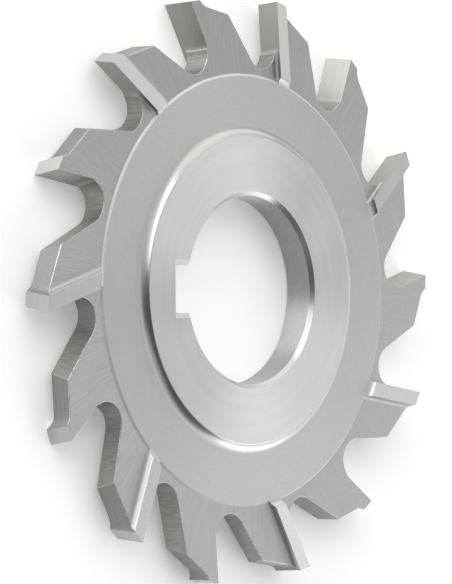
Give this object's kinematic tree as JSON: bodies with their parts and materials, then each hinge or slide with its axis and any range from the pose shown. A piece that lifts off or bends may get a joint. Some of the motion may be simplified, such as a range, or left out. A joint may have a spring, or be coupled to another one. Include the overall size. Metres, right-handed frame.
{
  "type": "side and face cutter",
  "caption": "Staggered-tooth side and face milling cutter: a thin steel disc with raised side cutting strips, deep gullets, a raised hub and a keyed bore.",
  "frame": {"origin": "centre of the bore, half-way between the two hub faces", "axes": "+Z along the bore axis; +X through the middle of the keyway; the cutter lies flat on its lower hub face"},
  "size_m": [0.0998, 0.099, 0.0064],
  "materials": {
    "high_speed_steel": "turned hub, fine matt web, ground teeth and strips"
  },
  "bodies": {
    "root": {"side_and_face_cutter": "high_speed_steel"}
  },
  "joints": []
}
